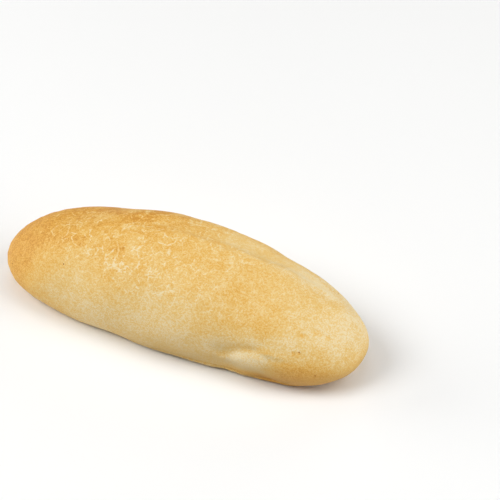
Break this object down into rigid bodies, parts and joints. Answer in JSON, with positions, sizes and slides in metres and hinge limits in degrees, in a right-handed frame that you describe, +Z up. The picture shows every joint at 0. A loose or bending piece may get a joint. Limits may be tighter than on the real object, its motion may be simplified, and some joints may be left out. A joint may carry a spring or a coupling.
{
  "type": "bolillo roll",
  "caption": "Long oval wheat roll with a rounded golden crown, blunt ends, a shallow lengthwise slash and a flat baked sole to rest on.",
  "frame": {"origin": "on the floor under the middle of the roll's box", "axes": "+X along the roll towards the end with the fold of dough, +Z up, -Y the side that carries the fold"},
  "size_m": [0.1696, 0.0632, 0.044],
  "materials": {
    "crust": "dry, matt, finely crackled golden crust, paler low on the sides and orange-brown on the sole"
  },
  "bodies": {
    "root": {"bolillo_roll": "crust"}
  },
  "joints": []
}
